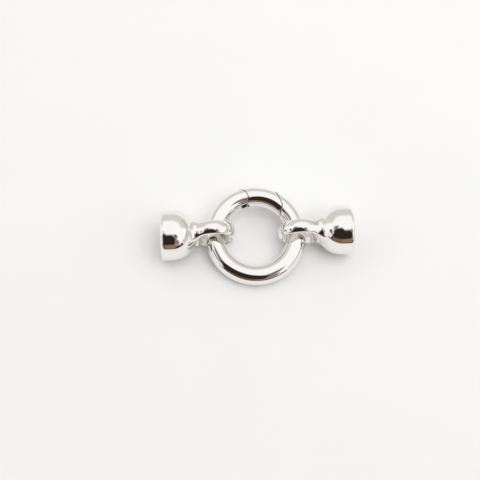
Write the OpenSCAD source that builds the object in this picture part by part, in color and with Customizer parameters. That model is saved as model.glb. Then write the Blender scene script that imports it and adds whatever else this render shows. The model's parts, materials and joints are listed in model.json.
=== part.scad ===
/* [Ring] */
// Outside diameter of the ring
ring_od = 18; // [17:0.5:22]
// Diameter of the round bar that the ring is made of
bar_d = 3.5; // [3.2:0.1:3.6]

/* [Gate] */
// Place of the gate's hinge round the ring, in degrees from the right-hand end cap
hinge_deg = 116; // [110:1:118]
// Place of the catch seam on the ring's outer edge, in degrees
catch_outer_deg = 66; // [64:1:68]
// Place of the catch seam's nose on the bar's middle line, in degrees
catch_nose_deg = 48; // [46:1:52]
// Place of the catch seam on the ring's inner edge, in degrees
catch_inner_deg = 37; // [35:1:40]
// Gap between the gate's end and the ring at the catch
catch_gap = 0.12; // [0.1:0.01:0.2]
// Gap between the round knuckle and the hollow end of the gate
knuckle_gap = 0.1; // [0.08:0.01:0.15]
// How far the gate swings inwards, in degrees
gate_swing = 32; // [20:1:34]
// Thickness of the gate's tongue, measured along the hinge pin
tongue_t = 1.8; // [1.4:0.1:1.8]
// Diameter of the hinge pin
pin_d = 0.9; // [0.8:0.1:1]

/* [Spring] */
// Thickness of the leaf spring behind the gate's tongue
leaf_t = 0.25; // [0.2:0.05:0.3]
// Width of the leaf spring
leaf_w = 1.3; // [1:0.1:1.5]

/* [End caps] */
// Outside diameter of the cup
cup_d = 8.8; // [8.7:0.1:9.2]
// Length of the straight part between the dome and the mouth
barrel_l = 2.0; // [1.5:0.1:3]
// Radius of the rounded lip at the mouth
lip_r = 0.75; // [0.5:0.05:0.8]
// Diameter of the blind socket that takes a cord's end
socket_d = 7.0; // [6.5:0.1:7.1]
// Depth of the socket's straight wall
socket_l = 3.4; // [3:0.1:3.5]
// Depth of the cone that the drill leaves at the bottom of the socket
socket_cone = 0.9; // [0.5:0.1:1.2]
// Diameter of the root at the loop's shoulders
root_start_d = 6.6; // [6.4:0.1:6.8]
// Diameter of the root inside the dome
root_end_d = 5.0; // [4.6:0.1:5.2]
// Width of the root at the loop's shoulders
root_start_w = 2.4; // [2.2:0.1:2.4]
// Width of the root inside the dome
root_end_w = 4.2; // [3.6:0.1:4.4]

/* [Loops] */
// Outside diameter of the loop that hangs on the ring
loop_od = 8.0; // [7.8:0.1:8.2]
// Thickness of the loop's band at its crown
loop_wall = 0.7; // [0.65:0.05:0.8]
// Width of the loop's band
loop_w = 2.6; // [2.4:0.1:2.8]
// Radius of the band's rounded outer face
crown_r = 1.9; // [1.7:0.1:2.2]
// How deep the loop's band sinks into the dome
loop_sink = 1.2; // [1:0.05:1.3]

/* [How it lies] */
// Gap between the ring's bar and the loops that it lies in
rest_gap = 0.35; // [0.3:0.05:0.4]
// How far the right loop is pulled outwards on the ring's bar
right_pull = 0.7; // [0:0.1:0.7]
// How far the left loop is pulled outwards on the ring's bar
left_pull = 0.3; // [0:0.1:0.7]
// How far the left loop has slid round the ring towards the front, in degrees
left_slide = 1; // [-4:0.5:4]
// How far the right loop has slid round the ring towards the back, in degrees
right_slide = 1.5; // [-4:0.5:4]
// How far the end caps have rolled over with the leaning ring, in degrees
cap_roll = 5; // [2:0.5:6]
// Turn of the left end cap on the table, in degrees
left_yaw = 4; // [-5:1:5]
// Turn of the right end cap on the table, in degrees
right_yaw = 2; // [-5:1:5]

/* [Hidden] */
$fn = 96;
eps = 0.01;
polished = "Gainsboro";

bar_r = bar_d / 2;
ring_r = (ring_od - bar_d) / 2;
ring_or = ring_od / 2;
ring_ir = ring_r - bar_r;
far = 2 * ring_od;

// Gate: where the pin stands, and the clearances round the tongue
hinge_at = ring_r * [cos(hinge_deg), sin(hinge_deg)];
knuckle_r = bar_r + 0.06;
side_gap = 0.1;
tongue_r = bar_r - 0.75;
tongue_half = 0.8;
tongue_reach = knuckle_r + 1.2;
slot_t = tongue_t + 2 * side_gap;
pin_r = pin_d / 2;
pin_fit = 0.03;
pin_turn = 0.05;
pin_top = bar_r - 0.35;
pin_low = bar_r - 0.12;
relief_deg = gate_swing + 6;
swing_steps = 4;

// Spring slot on the ring's inner face
slot_end_deg = 151;
slot_depth = 1.35;
leaf_inset = 0.3;
leaf_r = ring_ir + leaf_inset;
leaf_start_deg = hinge_deg + 10;
leaf_end_deg = slot_end_deg - 1.5;
leg_l = slot_depth - leaf_inset - pin_fit;

// Catch: the seam has a blunt nose that points into the ring's body
catch_out = ring_or * [cos(catch_outer_deg), sin(catch_outer_deg)];
catch_nose = ring_r * [cos(catch_nose_deg), sin(catch_nose_deg)];
catch_in = ring_ir * [cos(catch_inner_deg), sin(catch_inner_deg)];

// End caps
cup_r = cup_d / 2;
socket_r = socket_d / 2;
socket_floor = barrel_l - socket_l;
root_start = 1.6;
root_end = 4.0;
loop_or = loop_od / 2;
loop_ir = loop_or - loop_wall;
loop_reach = cup_r + loop_or - loop_sink;

// Rest: cups and loops lie on the table, and the ring leans forward onto its front edge
play = loop_ir - bar_r - rest_gap;
loop_z = (loop_or - crown_r) * cos(cap_roll) + crown_r;
ring_z = loop_z - sqrt(pow(play, 2) - pow(max(left_pull, right_pull), 2));
ring_lean = asin((ring_z - bar_r) / ring_r);
cap_pitch = asin((cup_r - loop_z) / loop_reach);

// Reach of an end cap from its loop's centre to its mouth, measured along the clasp
function mouth_reach(yaw) = let(a = cos(cap_pitch) * cos(yaw))
    (loop_reach + barrel_l - lip_r) * a + (cup_r - lip_r) * sqrt(1 - a * a) + lip_r;

// The ring's middle stands where both mouths are equally far from the origin
left_loop = [-ring_r * cos(left_slide) - left_pull, -ring_r * sin(left_slide)];
right_loop = [ring_r * cos(right_slide) + right_pull, ring_r * sin(right_slide)];
ring_x = (mouth_reach(left_yaw) - left_loop[0] - mouth_reach(right_yaw) - right_loop[0]) / 2;

// Ring's own frame: centre at the middle of the ring, Z along its axis
module in_ring() {
    translate([ring_x, 0, ring_z]) rotate([ring_lean, 0, 0]) children();
}

module bar_torus() {
    rotate_extrude() translate([ring_r, 0]) circle(r = bar_r);
}

// Flat region of the gate seen from above, less a gap at each end
module gate_region(gap_knuckle = 0, gap_catch = 0) {
    difference() {
        intersection() {
            rotate(hinge_deg) translate([0, -far]) square([far, far]);
            translate([-gap_catch, 0]) polygon([
                catch_out + far * (catch_out - catch_nose) / ring_od,
                catch_nose,
                catch_in + far * (catch_in - catch_nose) / ring_od,
                [-far, catch_in[1]],
                [-far, far]
            ]);
        }
        translate(hinge_at) circle(r = knuckle_r + gap_knuckle);
    }
}

// Swings a flat child about the hinge pin; the child points from the pin to the gate
module at_hinge(turn = 0) {
    translate(hinge_at) rotate(hinge_deg - 90 - turn) children();
}

// Tongue seen from above, grown on its two long sides
module tongue_outline(grow = 0) {
    translate([0, -tongue_half - grow]) square([tongue_reach, 2 * (tongue_half + grow)]);
}

// Flat sector of the ring between two radii and two angles
module arc_strip(r_in, r_out, from_deg, to_deg) {
    intersection() {
        difference() {
            circle(r = r_out);
            circle(r = r_in);
        }
        polygon([
            [0, 0],
            ring_od * [cos(from_deg), sin(from_deg)],
            ring_od * [cos(to_deg), sin(to_deg)]
        ]);
    }
}

// Room for the tongue over its whole swing, and for the spring behind it
module tongue_slot() {
    linear_extrude(slot_t, center = true) {
        translate(hinge_at) circle(r = tongue_r + side_gap);
        for (i = [0 : swing_steps])
            at_hinge(gate_swing * i / swing_steps) tongue_outline(side_gap);
        arc_strip(ring_ir - 1, ring_ir + slot_depth, hinge_deg, slot_end_deg);
    }
}

// Bevel on the gate's inner side, so that it can swing past the knuckle
module hinge_relief() {
    translate(hinge_at) rotate(hinge_deg + 180)
        linear_extrude(2 * bar_d, center = true)
            polygon([[0, 0], [ring_r, -eps], [ring_r, ring_r * tan(relief_deg)]]);
}

module ring_body() {
    color(polished) in_ring() difference() {
        bar_torus();
        linear_extrude(2 * bar_d, center = true) gate_region();
        tongue_slot();
        translate([hinge_at[0], hinge_at[1], -bar_d])
            cylinder(r = pin_r + pin_fit, h = bar_d + pin_top + pin_fit);
    }
}

module gate() {
    color(polished) in_ring() difference() {
        union() {
            difference() {
                intersection() {
                    bar_torus();
                    linear_extrude(2 * bar_d, center = true)
                        gate_region(knuckle_gap, catch_gap);
                }
                hinge_relief();
            }
            linear_extrude(tongue_t, center = true) {
                translate(hinge_at) circle(r = tongue_r);
                at_hinge() tongue_outline();
            }
        }
        translate([hinge_at[0], hinge_at[1], -bar_d])
            cylinder(r = pin_r + pin_turn, h = 2 * bar_d);
    }
}

module hinge_pin() {
    color(polished) in_ring() translate([hinge_at[0], hinge_at[1], -pin_low])
        cylinder(r = pin_r, h = pin_low + pin_top);
}

module gate_spring() {
    color(polished) in_ring() linear_extrude(leaf_w, center = true) {
        arc_strip(leaf_r, leaf_r + leaf_t, leaf_start_deg, leaf_end_deg);
        rotate(leaf_end_deg) translate([leaf_r, -leaf_t]) square([leg_l, leaf_t]);
    }
}

// Cup in section: radius along x, mouth towards +y, the dome's centre at the origin
module cup_section() {
    difference() {
        union() {
            intersection() {
                circle(r = cup_r);
                translate([0, -cup_r]) square([cup_r, cup_r]);
            }
            square([cup_r, barrel_l - lip_r]);
            square([cup_r - lip_r, barrel_l]);
            translate([cup_r - lip_r, barrel_l - lip_r]) circle(r = lip_r);
        }
        translate([0, socket_floor]) square([socket_r, cup_d]);
        polygon([[0, socket_floor + eps], [socket_r, socket_floor + eps],
            [0, socket_floor - socket_cone]]);
    }
}

// Half-round band of the loop, with its hole along Y
module loop_band() {
    rotate([90, 0, 0]) rotate_extrude() intersection() {
        translate([loop_or - crown_r, 0]) circle(r = crown_r);
        translate([0, -loop_w / 2]) square([loop_or, loop_w]);
    }
}

// Root of the loop: a cone from the loop's shoulders into the dome, cut to a wedge that widens towards the cup
module loop_root() {
    intersection() {
        translate([root_start, 0, 0]) rotate([0, 90, 0])
            cylinder(r1 = root_start_d / 2, r2 = root_end_d / 2, h = root_end - root_start);
        linear_extrude(height = cup_d, center = true) polygon([
            [root_start, -root_start_w / 2], [root_end, -root_end_w / 2],
            [root_end, root_end_w / 2], [root_start, root_start_w / 2]
        ]);
    }
}

// End cap, cast in one: the loop's centre at the origin, the cup's mouth towards +X
module end_cap() {
    color(polished) difference() {
        union() {
            loop_band();
            loop_root();
            translate([loop_reach, 0, 0]) rotate([0, 90, 0])
                rotate_extrude() cup_section();
        }
        rotate([90, 0, 0]) cylinder(r = loop_ir, h = cup_d, center = true);
    }
}

module end_cap_left() {
    translate([ring_x + left_loop[0], left_loop[1], loop_z])
        rotate([0, -cap_pitch, 180 + left_yaw]) rotate([-cap_roll, 0, 0]) end_cap();
}

module end_cap_right() {
    translate([ring_x + right_loop[0], right_loop[1], loop_z])
        rotate([0, -cap_pitch, right_yaw]) rotate([cap_roll, 0, 0]) end_cap();
}

ring_body();
gate();
hinge_pin();
gate_spring();
end_cap_left();
end_cap_right();
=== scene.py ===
"""Looks of the round clasp: a polished ring with a sprung gate, and two cup-shaped end caps on loops.

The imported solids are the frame. The ring, the gate and the end caps are modelled again with rounded edges
and smooth faces, because polished metal shows every facet. All lengths are in metres.
"""

import json
import logging
import math
from dataclasses import dataclass, field
from enum import Enum
from typing import Any, Callable, Iterable

import bmesh
import bpy
import numpy as np
from mathutils import Matrix, Vector


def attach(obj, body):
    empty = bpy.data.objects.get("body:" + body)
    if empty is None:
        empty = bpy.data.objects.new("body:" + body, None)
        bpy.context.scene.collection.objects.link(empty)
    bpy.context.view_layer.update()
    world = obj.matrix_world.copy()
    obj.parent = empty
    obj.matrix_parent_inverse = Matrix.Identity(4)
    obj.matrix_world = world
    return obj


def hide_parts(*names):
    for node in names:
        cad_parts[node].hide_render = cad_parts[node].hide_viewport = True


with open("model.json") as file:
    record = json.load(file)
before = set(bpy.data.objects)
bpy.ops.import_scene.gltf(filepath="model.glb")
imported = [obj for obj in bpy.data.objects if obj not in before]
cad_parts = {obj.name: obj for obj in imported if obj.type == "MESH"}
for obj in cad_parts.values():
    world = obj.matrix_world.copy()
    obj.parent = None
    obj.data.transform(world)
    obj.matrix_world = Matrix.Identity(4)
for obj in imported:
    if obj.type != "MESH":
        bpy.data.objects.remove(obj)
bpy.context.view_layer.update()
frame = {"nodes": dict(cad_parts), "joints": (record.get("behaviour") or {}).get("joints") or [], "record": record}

LOG = logging.getLogger("clasp")
MM = 0.001
PHOTO_PX = 480
SENSOR_MM = 36.0
HALVINGS = 44
MERGE_GAP = 1e-7
MOST_BOUNCES = 20
MIRROR_BOUNCES = 16


def linear(hex_colour: str) -> tuple[float, float, float, float]:
    """Turns an sRGB hex colour into the linear colour that the shaders take.

    Args:
        hex_colour: Colour such as "#E4E2DE".

    Returns:
        Linear red, green, blue and alpha.
    """
    parts = [int(hex_colour[i:i + 2], 16) / 255 for i in (1, 3, 5)]
    low = [c / 12.92 if c <= 0.04045 else ((c + 0.055) / 1.055) ** 2.4 for c in parts]
    return low[0], low[1], low[2], 1.0


def add_node(tree: bpy.types.NodeTree, kind: str, values: dict[Any, Any] | None = None,
             links: dict[Any, bpy.types.NodeSocket] | None = None, **settings: Any) -> bpy.types.Node:
    """Adds a shader node with its settings, input values and links.

    Args:
        tree: Node tree that gets the node.
        kind: Blender's name of the node's type.
        values: Input name or number to the value set on that socket.
        links: Input name or number to the output socket that feeds it.
        **settings: Properties of the node itself.

    Returns:
        The new node.
    """
    node = tree.nodes.new(kind)
    for name, value in settings.items():
        setattr(node, name, value)
    for name, value in (values or {}).items():
        node.inputs[name].default_value = value
    for name, source in (links or {}).items():
        tree.links.new(source, node.inputs[name])
    return node


def noise(tree: bpy.types.NodeTree, place: bpy.types.NodeSocket, size_mm: float, detail: float = 2.0,
          distortion: float = 0.0) -> bpy.types.NodeSocket:
    """Adds a noise with patches of a real size.

    Args:
        tree: Node tree that gets the noise.
        place: Place on the object.
        size_mm: Size of the patches.
        detail: Number of finer layers.
        distortion: How far the patches are drawn out of shape.

    Returns:
        The noise's value.
    """
    values = {"Scale": 1 / (size_mm * MM), "Detail": detail, "Distortion": distortion}
    return add_node(tree, "ShaderNodeTexNoise", values, {"Vector": place}).outputs["Fac"]


def blend(tree: bpy.types.NodeTree, first: str, second: str,
          share: bpy.types.NodeSocket) -> bpy.types.NodeSocket:
    """Blends two colours.

    Args:
        tree: Node tree that gets the blend.
        first: Hex colour where the share is 0.
        second: Hex colour where the share is 1.
        share: Share of the second colour.

    Returns:
        The blended colour.
    """
    values = {6: linear(first), 7: linear(second)}
    return add_node(tree, "ShaderNodeMix", values, {0: share}, data_type="RGBA").outputs[2]


def spread(tree: bpy.types.NodeTree, value: bpy.types.NodeSocket, span: tuple[float, float],
           result: tuple[float, float]) -> bpy.types.NodeSocket:
    """Spreads a value from one span over another, and holds it within that.

    Args:
        tree: Node tree that gets the node.
        value: The value.
        span: The value's lower and upper ends.
        result: What those ends become.

    Returns:
        The new value.
    """
    values = {1: span[0], 2: span[1], 3: result[0], 4: result[1]}
    return add_node(tree, "ShaderNodeMapRange", values, {0: value}).outputs[0]


def select_only(obj: bpy.types.Object) -> None:
    """Deselects everything, then selects one object and makes it active.

    Args:
        obj: The object.
    """
    bpy.ops.object.select_all(action="DESELECT")
    obj.select_set(True)
    bpy.context.view_layer.objects.active = obj


def new_piece(name: str) -> bpy.types.Object:
    """Names the object that a primitive operator has just added, and applies its place to its mesh.

    Args:
        name: Name of the object and its mesh.

    Returns:
        The named object, with its place in its mesh.
    """
    obj = bpy.context.object
    obj.name = obj.data.name = name
    select_only(obj)
    bpy.ops.object.transform_apply(location=True, rotation=True, scale=True)
    return obj


def edit(obj: bpy.types.Object) -> None:
    """Opens one object in edit mode with nothing selected.

    Args:
        obj: The object.
    """
    select_only(obj)
    bpy.ops.object.mode_set(mode="EDIT")
    bpy.ops.mesh.select_mode(type="VERT")
    bpy.ops.mesh.select_all(action="DESELECT")


def close_edit() -> None:
    """Leaves edit mode."""
    bpy.ops.object.mode_set(mode="OBJECT")


def pick(obj: bpy.types.Object, test: Callable[[Vector], bool]) -> None:
    """Selects, in edit mode, the vertices whose place passes a test.

    Args:
        obj: Object in edit mode.
        test: Takes a vertex's place and says if it is picked.
    """
    mesh = bmesh.from_edit_mesh(obj.data)
    for vertex in mesh.verts:
        vertex.select_set(test(vertex.co))
    mesh.select_flush(True)
    bmesh.update_edit_mesh(obj.data)


def tidy_shell(obj: bpy.types.Object, gap: float = MERGE_GAP) -> None:
    """Merges doubles and turns all faces outwards.

    Args:
        obj: Object whose mesh is a closed shell.
        gap: Largest distance between vertices that are merged.
    """
    edit(obj)
    bpy.ops.mesh.select_all(action="SELECT")
    bpy.ops.mesh.remove_doubles(threshold=gap)
    bpy.ops.mesh.normals_make_consistent(inside=False)
    close_edit()


def apply_modifier(obj: bpy.types.Object, kind: str, **settings: Any) -> None:
    """Adds a modifier, sets it and applies it.

    Args:
        obj: Object that gets the modifier.
        kind: Blender's name of the modifier's type.
        **settings: Properties of the modifier.
    """
    select_only(obj)
    modifier = obj.modifiers.new(kind.title(), kind)
    for name, value in settings.items():
        setattr(modifier, name, value)
    bpy.ops.object.modifier_apply(modifier=modifier.name)


def combine(obj: bpy.types.Object, tool: bpy.types.Object, operation: str) -> None:
    """Cuts or joins an object with a tool object, and removes the tool.

    Args:
        obj: Object that is changed.
        tool: Closed object that cuts or joins it.
        operation: DIFFERENCE or UNION.
    """
    apply_modifier(obj, "BOOLEAN", object=tool, operation=operation, solver="EXACT")
    bpy.data.objects.remove(tool)


def cylinder_tool(radius: float, height: float, centre: Iterable[float], axis: str = "Z",
                  sides: int = 96) -> bpy.types.Object:
    """Makes a closed cylinder to cut or join with.

    Args:
        radius: Radius of the cylinder.
        height: Full height.
        centre: Middle of the cylinder.
        axis: Z or Y, the way it stands.
        sides: Number of side faces.

    Returns:
        The cylinder.
    """
    turn = (math.pi / 2, 0, 0) if axis == "Y" else (0, 0, 0)
    bpy.ops.mesh.primitive_cylinder_add(vertices=sides, radius=radius, depth=height,
                                        location=tuple(centre), rotation=turn)
    return new_piece("tool")


def box_tool(size: tuple[float, float, float], pose: Matrix) -> bpy.types.Object:
    """Makes a closed box to cut or join with.

    Args:
        size: Lengths of the box's sides.
        pose: Place and turn of the box's middle.

    Returns:
        The box.
    """
    bpy.ops.mesh.primitive_cube_add(size=1)
    bpy.context.object.matrix_world = pose @ Matrix.Diagonal((*size, 1))
    return new_piece("tool")


@dataclass(frozen=True)
class RingSizes:
    """Driving dimensions of the ring, its gate and the parts of its hinge."""

    outer_d: float = 18 * MM
    bar_d: float = 3.5 * MM
    hinge_deg: float = 116
    catch_outer_deg: float = 66
    catch_nose_deg: float = 48
    catch_inner_deg: float = 37
    catch_gap: float = 0.12 * MM
    knuckle_r: float = 1.81 * MM
    knuckle_gap: float = 0.10 * MM
    relief_deg: float = 38
    swing_deg: float = 32
    edge_r: float = 0.05 * MM
    tongue_t: float = 1.8 * MM
    tongue_r: float = 1.0 * MM
    tongue_w: float = 1.6 * MM
    side_gap: float = 0.10 * MM
    pin_hole_r: float = 0.48 * MM
    pin_turn_r: float = 0.50 * MM
    pin_top: float = 1.43 * MM
    slot_end_deg: float = 151
    slot_depth: float = 1.35 * MM

    @property
    def bar_r(self) -> float:
        """Radius of the bar."""
        return self.bar_d / 2

    @property
    def ring_r(self) -> float:
        """Radius of the bar's middle line."""
        return (self.outer_d - self.bar_d) / 2

    def at(self, degrees: float, radius: float | None = None) -> Vector:
        """Gives a point of the ring's middle plane.

        Args:
            degrees: Angle round the ring.
            radius: Distance from the ring's middle, or None for the bar's middle line.

        Returns:
            The point, at height zero.
        """
        reach = self.ring_r if radius is None else radius
        turn = math.radians(degrees)
        return Vector((reach * math.cos(turn), reach * math.sin(turn), 0))

    @property
    def hinge(self) -> Vector:
        """Place of the hinge pin in the ring's own frame."""
        return self.at(self.hinge_deg)


@dataclass(frozen=True)
class Seam:
    """One end of a stretch of bar. clearance is the distance from the seam into the piece."""

    clearance: Callable[[float, float], float]
    outside_deg: float
    inside_deg: float

    def angle(self, radius: float, back: float) -> float:
        """Finds where a circle round the ring's middle lies a given distance inside the seam.

        Args:
            radius: Radius of the circle.
            back: Distance from the seam, into the piece.

        Returns:
            The angle round the ring, in degrees.
        """
        low, high = self.outside_deg, self.inside_deg
        for _ in range(HALVINGS):
            middle = (low + high) / 2
            turn = math.radians(middle)
            if self.clearance(radius * math.cos(turn), radius * math.sin(turn)) < back:
                low = middle
            else:
                high = middle
        return (low + high) / 2


@dataclass
class Seams:
    """The two seams of the ring, each as the ring's body and the gate have it.

    Each span holds the angles between which a seam is looked for, from outside the piece to inside it. The
    spans of the knuckle and the hollow are counted from the hinge.
    """

    sizes: RingSizes
    knuckle_span: tuple[float, float] = (-25, 12)
    hollow_span: tuple[float, float] = (0, -32)
    mouth_span: tuple[float, float] = (80, 20)
    nose_span: tuple[float, float] = (20, 85)

    def _from_hinge(self, x: float, y: float) -> tuple[float, float]:
        """Measures where a point lies from the pin.

        Args:
            x: Point's place across the ring.
            y: Point's place towards the gate.

        Returns:
            Depth towards the ring's middle, and reach along the gate.
        """
        inward = -self.sizes.at(self.sizes.hinge_deg, 1.0)
        along = Vector((-inward.y, inward.x, 0))
        arm = Vector((x, y, 0)) - self.sizes.hinge
        return arm.dot(inward), arm.dot(along)

    def _catch_depth(self, x: float, y: float) -> float:
        """Measures how far a point lies from the catch's seam.

        Args:
            x: Point's place across the ring.
            y: Point's place towards the gate.

        Returns:
            The distance, above zero on the gate's side.
        """
        s = self.sizes
        outer = s.at(s.catch_outer_deg, s.ring_r + s.bar_r)
        nose = s.at(s.catch_nose_deg)
        inner = s.at(s.catch_inner_deg, s.ring_r - s.bar_r)
        depths = []
        for a, b in ((outer, nose), (nose, inner)):
            run = b - a
            depths.append((run.y * (x - a.x) - run.x * (y - a.y)) / run.length)
        return min(depths)

    def body_hinge(self) -> Seam:
        """Makes the ring's rounded knuckle.

        Returns:
            The seam at the body's end.
        """
        def clearance(x: float, y: float) -> float:
            depth, along = self._from_hinge(x, y)
            return max(self.sizes.knuckle_r - math.hypot(depth, along), -along)
        return Seam(clearance, *(self.sizes.hinge_deg + turn for turn in self.knuckle_span))

    def gate_hinge(self) -> Seam:
        """Makes the gate's hollow end with the bevel on its inner side.

        Returns:
            The seam at the gate's end.
        """
        bevel = math.radians(self.sizes.relief_deg)
        hollow = self.sizes.knuckle_r + self.sizes.knuckle_gap
        def clearance(x: float, y: float) -> float:
            depth, along = self._from_hinge(x, y)
            return min(math.hypot(depth, along) - hollow, along * math.cos(bevel) - depth * math.sin(bevel))
        return Seam(clearance, *(self.sizes.hinge_deg + turn for turn in self.hollow_span))

    def body_catch(self) -> Seam:
        """Makes the ring's mouth that takes the gate's nose."""
        return Seam(lambda x, y: -self._catch_depth(x, y), *self.mouth_span)

    def gate_catch(self) -> Seam:
        """Makes the gate's blunt nose."""
        gap = self.sizes.catch_gap
        return Seam(lambda x, y: self._catch_depth(x + gap, y), *self.nose_span)


@dataclass
class Bar:
    """A stretch of round bar, bent to the ring, with a rounded edge and a shaped wall at either seam."""

    sizes: RingSizes
    name: str
    first: Seam
    last: Seam
    rows: int
    sides: int = 96
    edge_steps: int = 4
    wall_steps: int = 4
    spin_deg: float = 300

    def _layout(self) -> list[tuple[float, float, float]]:
        """Lists each ring of points as its share of the way, its inset from the bar and its depth.

        Returns:
            Tuples from the middle of the first wall to the middle of the last one.
        """
        edge, bar_r = self.sizes.edge_r, self.sizes.bar_r
        steps = [k / self.wall_steps for k in range(self.wall_steps)]
        wall = [(bar_r - (bar_r - edge) * step, 0.0) for step in steps]
        turns = [k / self.edge_steps * math.pi / 2 for k in range(self.edge_steps + 1)]
        lip = [(edge * (1 - math.sin(t)), edge * (1 - math.cos(t))) for t in turns]
        cap = wall + lip
        tube = [(k / self.rows, 0.0, edge) for k in range(1, self.rows)]
        return [(0.0, *pair) for pair in cap] + tube + [(1.0, *pair) for pair in reversed(cap)]

    def build(self) -> bpy.types.Object:
        """Spins a circle round the ring's middle and moves each ring of points to its place.

        Returns:
            The closed stretch of bar, in the ring's own frame.
        """
        s = self.sizes
        layout = self._layout()
        bpy.ops.mesh.primitive_circle_add(vertices=self.sides, radius=s.bar_r, fill_type="NOTHING",
                                          location=(s.ring_r, 0, 0), rotation=(math.pi / 2, 0, 0))
        obj = new_piece(self.name)
        edit(obj)
        bpy.ops.mesh.select_all(action="SELECT")
        # The spin only strings the rings of points together in order; each then moves to its own angle.
        bpy.ops.mesh.spin(steps=len(layout) - 1, angle=math.radians(self.spin_deg),
                          center=(0, 0, 0), axis=(0, 0, 1))
        mesh = bmesh.from_edit_mesh(obj.data)
        mesh.verts.index_update()
        angles: dict[tuple[int, float, float], tuple[float, float]] = {}
        for vertex in mesh.verts:
            x, y, z = vertex.co
            share, inset, back = layout[vertex.index // self.sides]
            round_bar = math.atan2(z, math.hypot(x, y) - s.ring_r)
            thick = s.bar_r - inset
            radius = s.ring_r + thick * math.cos(round_bar)
            key = (round(math.degrees(round_bar) * self.sides / 360), inset, back)
            if key not in angles:
                angles[key] = (self.first.angle(radius, back), self.last.angle(radius, back))
            start, stop = angles[key]
            if stop > start:
                stop -= 360
            place = s.at(start + (stop - start) * share, radius)
            vertex.co = (place.x, place.y, thick * math.sin(round_bar))
        bmesh.update_edit_mesh(obj.data)
        close_edit()
        tidy_shell(obj)
        return obj


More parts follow.
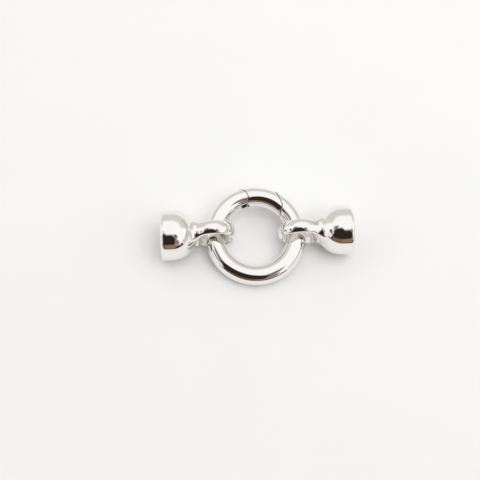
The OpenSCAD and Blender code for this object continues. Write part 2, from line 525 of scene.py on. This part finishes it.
@dataclass
class ClaspRing:
    """The ring's body and its gate."""

    sizes: RingSizes = field(default_factory=RingSizes)
    body_rows: int = 220
    gate_rows: int = 56
    slot_steps: int = 24
    tongue_lap: float = 1.2 * MM
    slot_mouth: float = 1.0 * MM
    swing_shares: tuple[float, ...] = (0, 0.5, 1)
    merge_gap: float = 1e-6
    smooth_deg: float = 32
    skin: float = 0.03 * MM

    def pose(self) -> Matrix:
        """Works out the ring's place and lean from the gate's joint.

        Returns:
            Matrix from the ring's own frame to the row's frame.
        """
        hinge = next(j for j in frame["joints"] if j["name"] == "gate_hinge")
        up = -Vector(hinge["axis"]).normalized()
        side = Vector((1, 0, 0))
        back = up.cross(side)
        turn = Matrix((side, back, up)).transposed()
        centre = Vector(hinge["pos_m"]) - turn @ self.sizes.hinge
        return Matrix.Translation(centre) @ turn.to_4x4()

    def _hinge_frame(self, turn_deg: float = 0) -> Matrix:
        """Gives the frame at the pin whose X axis points along the gate, swung inwards by an angle."""
        along_deg = self.sizes.hinge_deg - 90 - turn_deg
        return Matrix.Translation(self.sizes.hinge) @ Matrix.Rotation(math.radians(along_deg), 4, "Z")

    def _tongue_box(self, grow: float, thick: float, turn_deg: float = 0) -> bpy.types.Object:
        """Makes the tongue's straight part.

        Args:
            grow: Added to either long side.
            thick: Thickness along the pin.
            turn_deg: Swing of the gate.

        Returns:
            The box.
        """
        s = self.sizes
        reach = s.knuckle_r + self.tongue_lap
        pose = self._hinge_frame(turn_deg) @ Matrix.Translation((reach / 2, 0, 0))
        return box_tool((reach, s.tongue_w + 2 * grow, thick), pose)

    def _spring_slot(self, thick: float) -> bpy.types.Object:
        """Makes the curved slot on the ring's inner side by spinning a rectangle.

        Args:
            thick: Height of the slot.

        Returns:
            The closed tool.
        """
        s = self.sizes
        inner = s.ring_r - s.bar_r - self.slot_mouth
        outer = s.ring_r - s.bar_r + s.slot_depth
        bpy.ops.mesh.primitive_plane_add(size=1, rotation=(math.pi / 2, 0, 0))
        bpy.context.object.scale = (outer - inner, thick, 1)
        bpy.context.object.location = ((outer + inner) / 2, 0, 0)
        obj = new_piece("tool")
        obj.data.transform(Matrix.Rotation(math.radians(s.hinge_deg), 4, "Z"))
        edit(obj)
        bpy.ops.mesh.select_all(action="SELECT")
        bpy.ops.mesh.spin(steps=self.slot_steps, angle=math.radians(s.slot_end_deg - s.hinge_deg),
                          center=(0, 0, 0), axis=(0, 0, 1))
        close_edit()
        tidy_shell(obj)
        return obj

    def build_body(self) -> bpy.types.Object:
        """Models the ring's body with its slot and its pin's hole.

        Returns:
            The body in the row's frame.
        """
        s = self.sizes
        seams = Seams(s)
        obj = Bar(s, "clasp_ring", seams.body_catch(), seams.body_hinge(), self.body_rows).build()
        slot_t = s.tongue_t + 2 * s.side_gap
        combine(obj, cylinder_tool(s.tongue_r + s.side_gap, slot_t, s.hinge), "DIFFERENCE")
        for share in self.swing_shares:
            combine(obj, self._tongue_box(s.side_gap, slot_t, s.swing_deg * share), "DIFFERENCE")
        combine(obj, self._spring_slot(slot_t), "DIFFERENCE")
        depth = s.bar_d + s.pin_top
        hole = cylinder_tool(s.pin_hole_r, depth, s.hinge + Vector((0, 0, s.pin_top - depth / 2)))
        combine(obj, hole, "DIFFERENCE")
        return self._finish(obj)

    def build_gate(self) -> bpy.types.Object:
        """Models the gate with its tongue.

        Returns:
            The gate in the row's frame.
        """
        s = self.sizes
        seams = Seams(s)
        obj = Bar(s, "clasp_gate", seams.gate_hinge(), seams.gate_catch(), self.gate_rows).build()
        combine(obj, self._tongue_box(0, s.tongue_t), "UNION")
        combine(obj, cylinder_tool(s.tongue_r, s.tongue_t, s.hinge), "UNION")
        combine(obj, cylinder_tool(s.pin_turn_r, s.bar_d, s.hinge), "DIFFERENCE")
        return self._finish(obj)

    def _finish(self, obj: bpy.types.Object) -> bpy.types.Object:
        """Shades a piece smooth up to its real edges and puts it in the row's frame.

        Args:
            obj: Piece in the ring's own frame.

        Returns:
            The same piece.
        """
        tidy_shell(obj, self.merge_gap)
        select_only(obj)
        bpy.ops.object.shade_smooth_by_angle(angle=math.radians(self.smooth_deg))
        obj.data.transform(self.pose())
        return obj

    def mark_cut_faces(self, obj: bpy.types.Object, finish: bpy.types.Material) -> None:
        """Gives another finish to the faces inside the bar: the seams, the slot, the tongue and the holes. Its
        dark colour is painted shade in them.

        Args:
            obj: Piece of the ring in the row's frame, with its outer finish.
            finish: Finish of the faces that the buffing wheel can't reach, whose dark colour paints the shade
                there.
        """
        s = self.sizes
        to_ring = self.pose().inverted()
        obj.data.materials.append(finish)
        for face in obj.data.polygons:
            place = to_ring @ face.center
            depth = s.bar_r - math.hypot(math.hypot(place.x, place.y) - s.ring_r, place.z)
            # Faces deeper than the skin get the dark finish that paints the shade in the seams and the slot.
            face.material_index = 1 if depth > self.skin else 0


@dataclass(frozen=True)
class Seat:
    """The names that tie one end cap to the frame, and the way that it rolls about its own axis."""

    piece: str
    mount: str
    node: str
    body: str
    roll_sign: int


class Side(Enum):
    """The two end caps."""

    LEFT = Seat("left_end_cap", "socket_left", "end_cap_left", "cap_left", -1)
    RIGHT = Seat("right_end_cap", "socket_right", "end_cap_right", "cap_right", 1)


def soft_min(a: np.ndarray, b: np.ndarray, reach: float) -> np.ndarray:
    """Takes the lower of two distances, with a fillet where they are nearly equal.

    Args:
        a: First distances.
        b: Second distances.
        reach: How far the fillet reaches along either face.

    Returns:
        The blended distances.
    """
    near = np.maximum(reach - np.abs(a - b), 0) / reach
    return np.minimum(a, b) - near * near * reach / 4


def soft_max(a: np.ndarray, b: np.ndarray, reach: float) -> np.ndarray:
    """Takes the higher of two distances, with a rounded edge where they are nearly equal."""
    return -soft_min(-a, -b, reach)


@dataclass
class EndCap:
    """A domed cup with its root and its loop, cast in one. The loop's centre is the local origin."""

    cup_r: float = 4.4 * MM
    barrel_l: float = 2.0 * MM
    lip_r: float = 0.75 * MM
    socket_r: float = 3.5 * MM
    socket_l: float = 3.4 * MM
    socket_cone: float = 0.9 * MM
    inner_edge_r: float = 0.1 * MM
    root_x: tuple[float, float] = (1.6 * MM, 4.0 * MM)
    root_h: tuple[float, float] = (3.3 * MM, 2.5 * MM)
    root_w: tuple[float, float] = (1.2 * MM, 2.1 * MM)
    root_edge: float = 0.8 * MM
    root_fillet: float = 0.9 * MM
    loop_r: float = 4.0 * MM
    loop_wall: float = 0.7 * MM
    loop_w: float = 2.6 * MM
    crown_r: float = 1.9 * MM
    crown_edge: float = 0.25 * MM
    loop_fillet: float = 0.32 * MM
    hole_edge: float = 0.16 * MM
    loop_sink: float = 1.2 * MM
    roll_deg: float = 5.0
    sides: int = 96
    grain: float = 0.07 * MM
    wedge_lap: float = 1.0 * MM
    settle_rounds: int = 6
    probe: float = 0.001 * MM
    least_slope: float = 0.2
    longest_step: float = 0.15 * MM
    rim_gap: float = 0.02 * MM
    apex_share: float = 0.002
    smooth_deg: float = 40

    @property
    def reach(self) -> float:
        """Distance from the loop's centre to the dome's centre."""
        return self.cup_r + self.loop_r - self.loop_sink

    def pose(self, seat: Seat) -> Matrix:
        """Works out an end cap's place and turn from its socket's mount.

        Args:
            seat: Names and roll of the end cap.

        Returns:
            Matrix from the cap's own frame to the row's frame.
        """
        mount = next(m for m in frame["record"]["mounts"] if m["name"] == seat.mount)
        axis = Vector(mount["axis"]).normalized()
        socket_middle = self.reach + self.barrel_l - self.socket_l / 2
        centre = Vector(mount["pos_m"]) - axis * socket_middle
        yaw = Matrix.Rotation(math.atan2(axis.y, axis.x), 4, "Z")
        pitch = Matrix.Rotation(-math.asin(axis.z), 4, "Y")
        roll = Matrix.Rotation(math.radians(self.roll_deg) * seat.roll_sign, 4, "X")
        return Matrix.Translation(centre) @ yaw @ pitch @ roll

    def _distance(self, places: np.ndarray) -> np.ndarray:
        """Measures how far places lie outside the casting's soft outer shape.

        Args:
            places: One place a row.

        Returns:
            Distances, below zero inside the metal.
        """
        x, y, z = places.T
        round_hole = np.hypot(x, z)
        dome = np.sqrt(np.minimum(x - self.reach, 0) ** 2 + y * y + z * z) - self.cup_r
        share = np.clip((x - self.root_x[0]) / (self.root_x[1] - self.root_x[0]), 0, 1)
        height = self.root_h[0] + (self.root_h[1] - self.root_h[0]) * share
        width = self.root_w[0] + (self.root_w[1] - self.root_w[0]) * share
        root = soft_max(np.hypot(y, z) - height, np.abs(y) - width, self.root_edge)
        root = np.maximum(root, self.root_x[0] - x)
        crown = np.hypot(round_hole - (self.loop_r - self.crown_r), y) - self.crown_r
        band = soft_max(crown, np.abs(y) - self.loop_w / 2, self.crown_edge)
        outer = soft_min(soft_min(dome, root, self.root_fillet), band, self.loop_fillet)
        return soft_max(outer, self.loop_r - self.loop_wall - round_hole, self.hole_edge)

    def _settle(self, obj: bpy.types.Object) -> None:
        """Moves every vertex of the rough casting down the slope of the distance, onto its soft outer shape.

        Args:
            obj: Rough casting.
        """
        count = len(obj.data.vertices)
        flat = np.empty(count * 3, dtype=np.float32)
        obj.data.vertices.foreach_get("co", flat)
        places = flat.reshape(count, 3).astype(float)
        for _ in range(self.settle_rounds):
            slope = np.empty_like(places)
            for k in range(3):
                offset = np.zeros(3)
                offset[k] = self.probe
                rise = self._distance(places + offset) - self._distance(places - offset)
                slope[:, k] = rise / (2 * self.probe)
            size = np.maximum((slope * slope).sum(axis=1), self.least_slope)
            step = np.clip(self._distance(places) / size, -self.longest_step, self.longest_step)
            places -= slope * step[:, None]
        obj.data.vertices.foreach_set("co", places.astype(np.float32).ravel())
        obj.data.update()

    def _rough_casting(self) -> bpy.types.Object:
        """Joins a ball, a wedge and a drilled disc, and meshes them as one skin.

        Returns:
            The rough casting, closed, with an even mesh.
        """
        bpy.ops.mesh.primitive_uv_sphere_add(segments=self.sides, ring_count=self.sides // 2,
                                             radius=self.cup_r, location=(self.reach, 0, 0),
                                             rotation=(0, math.pi / 2, 0))
        obj = new_piece("end_cap")
        start, stop = self.root_x[0], self.root_x[1] + self.wedge_lap
        wedge = box_tool((stop - start, 2 * self.root_w[1], 2 * self.root_h[1]),
                         Matrix.Translation(((start + stop) / 2, 0, 0)))
        edit(wedge)
        pick(wedge, lambda co: co.x < (start + stop) / 2)
        bpy.ops.transform.resize(value=(1, self.root_w[0] / self.root_w[1], self.root_h[0] / self.root_h[1]),
                                 center_override=(start, 0, 0))
        close_edit()
        combine(obj, wedge, "UNION")
        combine(obj, cylinder_tool(self.loop_r, self.loop_w, (0, 0, 0), "Y"), "UNION")
        hole_r, through = self.loop_r - self.loop_wall, 4 * self.loop_w
        combine(obj, cylinder_tool(hole_r, through, (0, 0, 0), "Y"), "DIFFERENCE")
        # The remesh takes no grain below 0.1 mm, so the casting is a thousand times larger while it runs.
        obj.data.transform(Matrix.Scale(1 / MM, 4))
        apply_modifier(obj, "REMESH", mode="VOXEL", voxel_size=self.grain / MM)
        obj.data.transform(Matrix.Scale(MM, 4))
        return obj

    def _pull(self, steps: Iterable[tuple[float, float]], start_x: float, start_r: float) -> None:
        """Extrudes the picked rim step by step along a profile.

        Args:
            steps: Places along the axis and radii, one pair for each step.
            start_x: Where the picked rim is along the axis.
            start_r: The picked rim's radius.
        """
        x, radius = start_x, start_r
        for next_x, next_r in steps:
            bpy.ops.mesh.extrude_region_move(TRANSFORM_OT_translate={"value": (next_x - x, 0, 0)})
            scale = next_r / radius
            bpy.ops.transform.resize(value=(1, scale, scale), center_override=(next_x, 0, 0))
            x, radius = next_x, next_r

    def _mouth_profile(self) -> list[tuple[float, float]]:
        """Lists the cup's profile from the dome's equator over the lip down to the drilled cone.

        Returns:
            Places along the cap's axis and radii.
        """
        mid, mouth = self.reach, self.reach + self.barrel_l
        floor_x = mouth - self.socket_l
        lip_r, edge = self.lip_r, self.inner_edge_r
        quarter = [k / 8 * math.pi / 2 for k in range(9)]
        barrel = [(mid + (self.barrel_l - lip_r) * k / 4, self.cup_r) for k in range(1, 4)]
        lip = [(mouth - lip_r + lip_r * math.sin(t), self.cup_r - lip_r + lip_r * math.cos(t))
               for t in quarter]
        inner = [(mouth - edge + edge * math.cos(t), self.socket_r + edge - edge * math.sin(t))
                 for t in quarter[::2]]
        depth = [(mouth - edge - (self.socket_l - edge) * k / 4, self.socket_r) for k in range(1, 5)]
        cone = [(floor_x - self.socket_cone * k / 8, self.socket_r * (1 - k / 8)) for k in range(1, 8)]
        apex = (floor_x - self.socket_cone, self.socket_r * self.apex_share)
        return barrel + lip + inner + depth + cone + [apex]

    def build(self) -> bpy.types.Object:
        """Models the casting, then draws the barrel, the lip and the socket out of the dome's rim.

        Returns:
            The end cap in its own frame.
        """
        obj = self._rough_casting()
        self._settle(obj)
        edit(obj)
        bpy.ops.mesh.select_all(action="SELECT")
        bpy.ops.mesh.bisect(plane_co=(self.reach, 0, 0), plane_no=(1, 0, 0), clear_outer=True,
                            threshold=MERGE_GAP)
        pick(obj, lambda co: co.x > self.reach - self.probe)
        bpy.ops.mesh.remove_doubles(threshold=self.rim_gap)
        mesh = bmesh.from_edit_mesh(obj.data)
        for vertex in mesh.verts:
            if vertex.select:
                out = self.cup_r / math.hypot(vertex.co.y, vertex.co.z)
                vertex.co = (self.reach, vertex.co.y * out, vertex.co.z * out)
        bmesh.update_edit_mesh(obj.data)
        self._pull(self._mouth_profile(), self.reach, self.cup_r)
        bpy.ops.mesh.merge(type="CENTER")
        close_edit()
        tidy_shell(obj)
        select_only(obj)
        bpy.ops.object.shade_smooth_by_angle(angle=math.radians(self.smooth_deg))
        return obj

    def copy_to(self, obj: bpy.types.Object, seat: Seat) -> bpy.types.Object:
        """Copies the modelled cap, with its own mesh, to its place on the ring.

        Args:
            obj: The cap in its own frame.
            seat: Names and roll of the copy.

        Returns:
            The copy in the row's frame.
        """
        twin = bpy.data.objects.new(seat.piece, obj.data.copy())
        twin.data.name = seat.piece
        bpy.context.scene.collection.objects.link(twin)
        twin.data.transform(self.pose(seat))
        return twin


@dataclass(frozen=True)
class Finish:
    """A finish made of shader nodes. Each kind of finish paints its own pattern."""

    name: str = "finish"
    metal: bool = True

    def paint(self, tree: bpy.types.NodeTree, shader: bpy.types.Node, place: bpy.types.NodeSocket) -> None:
        """Is filled in by each kind of finish."""
        raise NotImplementedError

    def make(self) -> bpy.types.Material:
        """Builds the material.

        Returns:
            The node material.
        """
        material = bpy.data.materials.new(self.name)
        material.use_nodes = True
        tree = material.node_tree
        shader = tree.nodes["Principled BSDF"]
        shader.inputs["Metallic"].default_value = 1.0 if self.metal else 0.0
        self.paint(tree, shader, add_node(tree, "ShaderNodeTexCoord").outputs["Object"])
        return material


@dataclass(frozen=True)
class PolishedPlate(Finish):
    """Rhodium-like plating on brass, buffed to a mirror: bright, nearly colourless, with faint haze."""

    name: str = "mirror_polished_plating"
    light: str = "#F7F6F4"
    warm: str = "#F1EFEC"
    roughness: tuple[float, float] = (0.03, 0.07)
    wave_mm: float = 3.2
    line_mm: float = 0.12

    def paint(self, tree: bpy.types.NodeTree, shader: bpy.types.Node, place: bpy.types.NodeSocket) -> None:
        """Adds this finish's pattern to the shader.

        Args:
            tree: Node tree of the material.
            shader: Its main shader.
            place: Place on the object.
        """
        waves = noise(tree, place, self.wave_mm)
        lines = noise(tree, place, self.line_mm, 3.0, 0.6)
        # The tone shifts a little with the thickness of the plating, so that the metal isn't one flat grey.
        tree.links.new(blend(tree, self.light, self.warm, waves), shader.inputs["Base Color"])
        # Buffing leaves fine hazy patches, which soften the edges of what the metal mirrors.
        tree.links.new(spread(tree, lines, (0.35, 0.75), self.roughness), shader.inputs["Roughness"])
        fine = add_node(tree, "ShaderNodeBump", {"Strength": 0.05, "Distance": 0.004 * MM}, {"Height": lines})
        # The buffing wheel leaves the faces slightly wavy, which bends the mirrored edges.
        broad = add_node(tree, "ShaderNodeBump", {"Strength": 0.35, "Distance": 0.03 * MM},
                         {"Height": waves, "Normal": fine.outputs["Normal"]})
        tree.links.new(broad.outputs["Normal"], shader.inputs["Normal"])


@dataclass(frozen=True)
class CutMetal(Finish):
    """Metal in the seams and the slot: dull and blotchy like metal out of the buffing wheel's reach, with a dark
    colour that paints the shade there.
    """

    name: str = "cut_metal_painted_shade"
    light: str = "#8E8B86"
    dark: str = "#4A4743"
    roughness: tuple[float, float] = (0.30, 0.50)
    grain_mm: float = 0.10

    def paint(self, tree: bpy.types.NodeTree, shader: bpy.types.Node, place: bpy.types.NodeSocket) -> None:
        """Adds this finish's pattern to the shader.

        Args:
            tree: Node tree of the material.
            shader: Its main shader.
            place: Place on the object.
        """
        grain = noise(tree, place, self.grain_mm, 3.0)
        # Painted shade: the dark tones stand for the shade in the seams and the slot, and the noise makes them
        # blotchy.
        tree.links.new(blend(tree, self.dark, self.light, grain), shader.inputs["Base Color"])
        tree.links.new(spread(tree, grain, (0.0, 1.0), self.roughness), shader.inputs["Roughness"])


@dataclass(frozen=True)
class SpringSteel(Finish):
    """Rolled spring strip: darker grey steel with fine lines from rolling."""

    name: str = "rolled_spring_steel"
    light: str = "#B9BABC"
    dark: str = "#8C8D90"
    roughness: tuple[float, float] = (0.22, 0.4)
    grain_mm: float = 0.08
    stretch: tuple[float, float, float] = (0.15, 0.15, 1.0)

    def paint(self, tree: bpy.types.NodeTree, shader: bpy.types.Node, place: bpy.types.NodeSocket) -> None:
        """Adds this finish's pattern to the shader.

        Args:
            tree: Node tree of the material.
            shader: Its main shader.
            place: Place on the object.
        """
        # The grain is drawn out round the ring, the way that the strip was rolled.
        long = add_node(tree, "ShaderNodeMapping", {"Scale": self.stretch}, {"Vector": place}).outputs[0]
        grain = noise(tree, long, self.grain_mm)
        tree.links.new(blend(tree, self.dark, self.light, grain), shader.inputs["Base Color"])
        tree.links.new(spread(tree, grain, (0.0, 1.0), self.roughness), shader.inputs["Roughness"])


@dataclass(frozen=True)
class PaperSweep(Finish):
    """Matt white paper with a very faint tooth, and painted light that makes it a little brighter towards the
    back.
    """

    name: str = "matt_white_paper"
    metal: bool = False
    light: str = "#F9F9F9"
    shade: str = "#ECECEB"
    roughness: float = 0.9
    sheen: float = 0.1
    shade_y: tuple[float, float] = (-40 * MM, 75 * MM)
    cloud_mm: float = 20
    tooth_mm: float = 0.5

    def paint(self, tree: bpy.types.NodeTree, shader: bpy.types.Node, place: bpy.types.NodeSocket) -> None:
        """Adds this finish's pattern to the shader.

        Args:
            tree: Node tree of the material.
            shader: Its main shader.
            place: Place on the object.
        """
        shader.inputs["Roughness"].default_value = self.roughness
        shader.inputs["Specular IOR Level"].default_value = self.sheen
        cloud = noise(tree, place, self.cloud_mm)
        back = add_node(tree, "ShaderNodeSeparateXYZ", {}, {0: place}).outputs[1]
        # The lighter back stands for paper that catches more light there, and the noise keeps it uneven.
        uneven = add_node(tree, "ShaderNodeMath", {1: self.cloud_mm * MM}, {0: cloud, 2: back},
                          operation="MULTIPLY_ADD").outputs[0]
        share = spread(tree, uneven, self.shade_y, (0.0, 1.0))
        tree.links.new(blend(tree, self.shade, self.light, share), shader.inputs["Base Color"])
        # A faint tooth keeps the paper from looking like plastic.
        bump = add_node(tree, "ShaderNodeBump", {"Strength": 0.05, "Distance": 0.02 * MM},
                        {"Height": noise(tree, place, self.tooth_mm)})
        tree.links.new(bump.outputs["Normal"], shader.inputs["Normal"])


@dataclass(frozen=True)
class Card:
    """A soft-edged patch of the surroundings. All angles are in degrees.

    around is the direction, 0 at the camera's side and above zero to the right; up is the height over the
    horizon. A card with both_sides set is repeated on the left, and one with oval set is cut to an oval.
    """

    colour: str
    around: float
    up: float
    half_around: float
    half_up: float
    soft: float = 6
    tilt: float = 0
    both_sides: bool = False
    oval: bool = False


SURROUNDINGS = (
    # The pale greys at the back and the right draw the upper outlines of the domes and the ring.
    Card("#D6D4CC", 150, 24, 40, 21, 16, both_sides=True),
    Card("#CACAC3", 78, 11, 26, 9, 9),
    Card("#B2B2AA", 112, 17, 36, 3, 5),
    # The near-black oval in front, with greys at its rim, gives the dark bands and crescents.
    Card("#77776E", -70, 58, 14, 12, 16, oval=True),
    Card("#2D2722", -17, 42, 48, 32, 12, oval=True),
    Card("#6A6A5C", 35, 55, 15, 11, 10, oval=True),
    Card("#9A9A90", 27, 60, 5, 5, 6, oval=True),
    Card("#8A7C7C", 29, 28, 10, 14, 8, oval=True),
    # The browns and the reds low in front give the warm lower edges.
    Card("#7E5F45", -10, -4, 52, 26, 6, oval=True),
    Card("#8F7260", 10, 12, 10, 9, 8),
    Card("#5A2F2C", -46, 15, 5, 8, 6),
    Card("#24140F", 24, 2, 14, 5, 5, tilt=22),
    Card("#8A4A50", 43, 6, 5, 9, 4),
    Card("#3A2226", 49, 3, 1.2, 9, 2),
    # The dark and lilac streaks at the left break up the ring's left flank.
    Card("#4A4650", -68, 27, 10, 6, 6, tilt=-20),
    Card("#F0E8F5", -61, 14, 10, 9, 6),
    Card("#EDEBEE", -62, 36, 12, 3, 4, tilt=-33),
    Card("#3A3230", -74, 2, 12, 2.5, 3, tilt=-38),
)


@dataclass
class Studio:
    """White surroundings with a dark and brown front, the floor and a soft lamp."""

    sky: float = 1.04
    white: str = "#FFFFFF"
    backdrop: str = "#F2F2F0"
    floor_size: float = 1.6
    floor_drop: float = 0.02 * MM
    lamp_energy: float = 0.80
    lamp_d: float = 0.4
    lamp_place: tuple[float, float, float] = (0.07, -0.11, 0.40)

    def _math(self, tree: bpy.types.NodeTree, kind: str, *items: Any) -> bpy.types.NodeSocket:
        """Adds a Math node whose inputs are numbers or sockets.

        Args:
            tree: Node tree of the world.
            kind: Operation of the node.
            *items: Its inputs in order.

        Returns:
            The node's result.
        """
        values = {i: item for i, item in enumerate(items) if isinstance(item, (int, float))}
        links = {i: item for i, item in enumerate(items) if not isinstance(item, (int, float))}
        return add_node(tree, "ShaderNodeMath", values, links, operation=kind).outputs[0]

    def _share(self, tree: bpy.types.NodeTree, offset: bpy.types.NodeSocket, half: float,
               soft: float) -> bpy.types.NodeSocket:
        """Gives 1 within half a card's size of its middle and falls softly to 0 outside it.

        Args:
            tree: Node tree of the world.
            offset: Angle from the card's middle.
            half: Half of the card's size.
            soft: Width of its soft edge.

        Returns:
            The share of the card.
        """
        wide = self._math(tree, "ABSOLUTE", offset)
        return add_node(tree, "ShaderNodeMapRange", {1: half + soft / 2, 2: half - soft / 2}, {0: wide},
                        interpolation_type="SMOOTHSTEP").outputs[0]

    def _oval_share(self, tree: bpy.types.NodeTree, card: Card, along: bpy.types.NodeSocket,
                    aside: bpy.types.NodeSocket) -> bpy.types.NodeSocket:
        """Gives 1 inside a card that is cut to an oval and falls softly to 0 outside it.

        Args:
            tree: Node tree of the world.
            card: The card.
            along: Angle from its middle along its length.
            aside: Angle from its middle across its length.

        Returns:
            The share of the card.
        """
        wide = self._math(tree, "DIVIDE", along, card.half_around)
        high = self._math(tree, "DIVIDE", aside, card.half_up)
        square = self._math(tree, "MULTIPLY_ADD", wide, wide, self._math(tree, "MULTIPLY", high, high))
        reach = self._math(tree, "SQRT", square)
        return self._share(tree, reach, 1.0, card.soft / min(card.half_around, card.half_up))

    def _hang(self, tree: bpy.types.NodeTree, card: Card, around: bpy.types.NodeSocket,
              up: bpy.types.NodeSocket, under: bpy.types.NodeSocket) -> bpy.types.NodeSocket:
        """Lays a card over the surroundings.

        Args:
            tree: Node tree of the world.
            card: The card.
            around: Direction of the ray.
            up: Height of the ray over the horizon.
            under: Colour of what is behind the card.

        Returns:
            The colour with the card.
        """
        if card.both_sides:
            around = self._math(tree, "ABSOLUTE", around)
        across = self._math(tree, "SUBTRACT", around, card.around)
        above = self._math(tree, "SUBTRACT", up, card.up)
        cos, sin = math.cos(math.radians(card.tilt)), math.sin(math.radians(card.tilt))
        along = self._math(tree, "MULTIPLY_ADD", across, cos, self._math(tree, "MULTIPLY", above, sin))
        aside = self._math(tree, "MULTIPLY_ADD", above, cos, self._math(tree, "MULTIPLY", across, -sin))
        if card.oval:
            share = self._oval_share(tree, card, along, aside)
        else:
            share = self._math(tree, "MULTIPLY", self._share(tree, along, card.half_around, card.soft),
                               self._share(tree, aside, card.half_up, card.soft))
        return add_node(tree, "ShaderNodeMix", {7: linear(card.colour)}, {0: share, 6: under},
                        data_type="RGBA").outputs[2]

    def build_world(self) -> None:
        """Builds the surroundings that the metal mirrors: white, with the dark front that the photo shows."""
        world = bpy.data.worlds.new("studio")
        bpy.context.scene.world = world
        world.use_nodes = True
        tree = world.node_tree
        tree.nodes.clear()
        way = add_node(tree, "ShaderNodeTexCoord").outputs["Generated"]
        split = add_node(tree, "ShaderNodeSeparateXYZ", {}, {0: way})
        ahead = self._math(tree, "MULTIPLY", split.outputs[1], -1.0)
        turn = self._math(tree, "ARCTAN2", split.outputs[0], ahead)
        around = self._math(tree, "MULTIPLY", turn, 180 / math.pi)
        up = self._math(tree, "MULTIPLY", self._math(tree, "ARCSINE", split.outputs[2]), 180 / math.pi)
        colour = add_node(tree, "ShaderNodeRGB").outputs[0]
        colour.default_value = linear(self.white)
        for card in SURROUNDINGS:
            colour = self._hang(tree, card, around, up, colour)
        # The metal mirrors the cards, and a picture taken from low down sees a plain pale background.
        seen = add_node(tree, "ShaderNodeLightPath").outputs["Is Camera Ray"]
        colour = add_node(tree, "ShaderNodeMix", {7: linear(self.backdrop)}, {0: seen, 6: colour},
                          data_type="RGBA").outputs[2]
        back = add_node(tree, "ShaderNodeBackground", {"Strength": self.sky}, {"Color": colour})
        add_node(tree, "ShaderNodeOutputWorld", {}, {"Surface": back.outputs[0]})

    def build_floor(self) -> bpy.types.Object:
        """Lays the pale floor.

        Returns:
            The floor.
        """
        bpy.ops.object.select_all(action="DESELECT")
        bpy.ops.mesh.primitive_plane_add(size=self.floor_size, location=(0, 0, -self.floor_drop))
        floor = new_piece("floor")
        floor.data.materials.append(PaperSweep().make())
        return floor

    def build_lamp(self) -> bpy.types.Object:
        """Hangs a large soft lamp over the right front. The metal doesn't mirror it, only the cards.

        Returns:
            The lamp.
        """
        data = bpy.data.lights.new("softbox", "AREA")
        data.shape = "DISK"
        data.size = self.lamp_d
        data.energy = self.lamp_energy
        lamp = bpy.data.objects.new("softbox", data)
        bpy.context.scene.collection.objects.link(lamp)
        lamp.location = self.lamp_place
        lamp.rotation_euler = (-lamp.location).to_track_quat("-Z", "Y").to_euler()
        lamp.visible_glossy = False
        return lamp


@dataclass
class PhotoCamera:
    """Camera at the photo's angle: above and a little left of the front, with the clasp level."""

    elevation_deg: float = 65.0
    lean: float = -0.06
    distance: float = 105 * MM
    px_per_mm: float = 5.59
    aim: tuple[float, float, float] = (-0.1646 * MM, 0.0, 3.0 * MM)
    aim_px: tuple[float, float] = (255.6, 235.5)

    def build(self) -> bpy.types.Object:
        """Sets up the camera.

        Returns:
            The camera.
        """
        rise = math.sin(math.radians(self.elevation_deg))
        back = Vector((self.lean, -math.sqrt(1 - rise ** 2 - self.lean ** 2), rise))
        up = Vector((0, back.z, -back.y)).normalized()
        right = up.cross(back)
        focal_px = self.px_per_mm * self.distance / MM
        eye = Vector(self.aim) + back * self.distance
        data = bpy.data.cameras.new("photo_camera")
        data.sensor_width = SENSOR_MM
        data.lens = SENSOR_MM * focal_px / PHOTO_PX
        data.clip_start = 1 * MM
        data.shift_x = (PHOTO_PX / 2 - self.aim_px[0]) / PHOTO_PX
        data.shift_y = (self.aim_px[1] - PHOTO_PX / 2) / PHOTO_PX
        camera = bpy.data.objects.new("photo_camera", data)
        bpy.context.scene.collection.objects.link(camera)
        turn = Matrix((right, up, back)).transposed()
        camera.matrix_world = Matrix.Translation(eye) @ turn.to_4x4()
        bpy.context.scene.camera = camera
        return camera


def dress(obj: bpy.types.Object, node: str, body: str, material: bpy.types.Material) -> None:
    """Gives a modelled piece its material and its body, and hides the CAD node that it stands for.

    Args:
        obj: Modelled piece.
        node: CAD node that it replaces.
        body: CAD body that it rides on.
        material: Finish of the piece.
    """
    obj.data.materials.clear()
    obj.data.materials.append(material)
    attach(obj, body)
    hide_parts(node)
    LOG.info("%s: %d faces", obj.name, len(obj.data.polygons))


def main() -> None:
    """Builds the studio, then the clasp's pieces in order."""
    logging.basicConfig(level=logging.INFO, format="%(name)s: %(message)s")
    bpy.ops.object.select_all(action="DESELECT")
    bpy.context.scene.view_settings.view_transform = "Standard"
    # Light needs many bounces to get out of the narrow polished spaces in the loops and the seams.
    bpy.context.scene.cycles.max_bounces = MOST_BOUNCES
    bpy.context.scene.cycles.glossy_bounces = MIRROR_BOUNCES
    PhotoCamera().build()
    studio = Studio()
    studio.build_world()
    studio.build_floor()
    studio.build_lamp()

    plate = PolishedPlate().make()
    steel = SpringSteel().make()
    # The seams and the slot get a dark finish, which paints the shade in them.
    cut = CutMetal().make()
    ring = ClaspRing()
    for obj, node, body in ((ring.build_body(), "ring_body", "ring"), (ring.build_gate(), "gate", "gate")):
        dress(obj, node, body, plate)
        ring.mark_cut_faces(obj, cut)
    cap = EndCap()
    model = cap.build()
    for side in Side:
        dress(cap.copy_to(model, side.value), side.value.node, side.value.body, plate)
    bpy.data.objects.remove(model)
    for node, material in (("hinge_pin", plate), ("gate_spring", steel)):
        solid = frame["nodes"][node]
        solid.data.materials.clear()
        solid.data.materials.append(material)
        LOG.info("%s: finish %s", node, material.name)


if __name__ == "__main__":
    main()
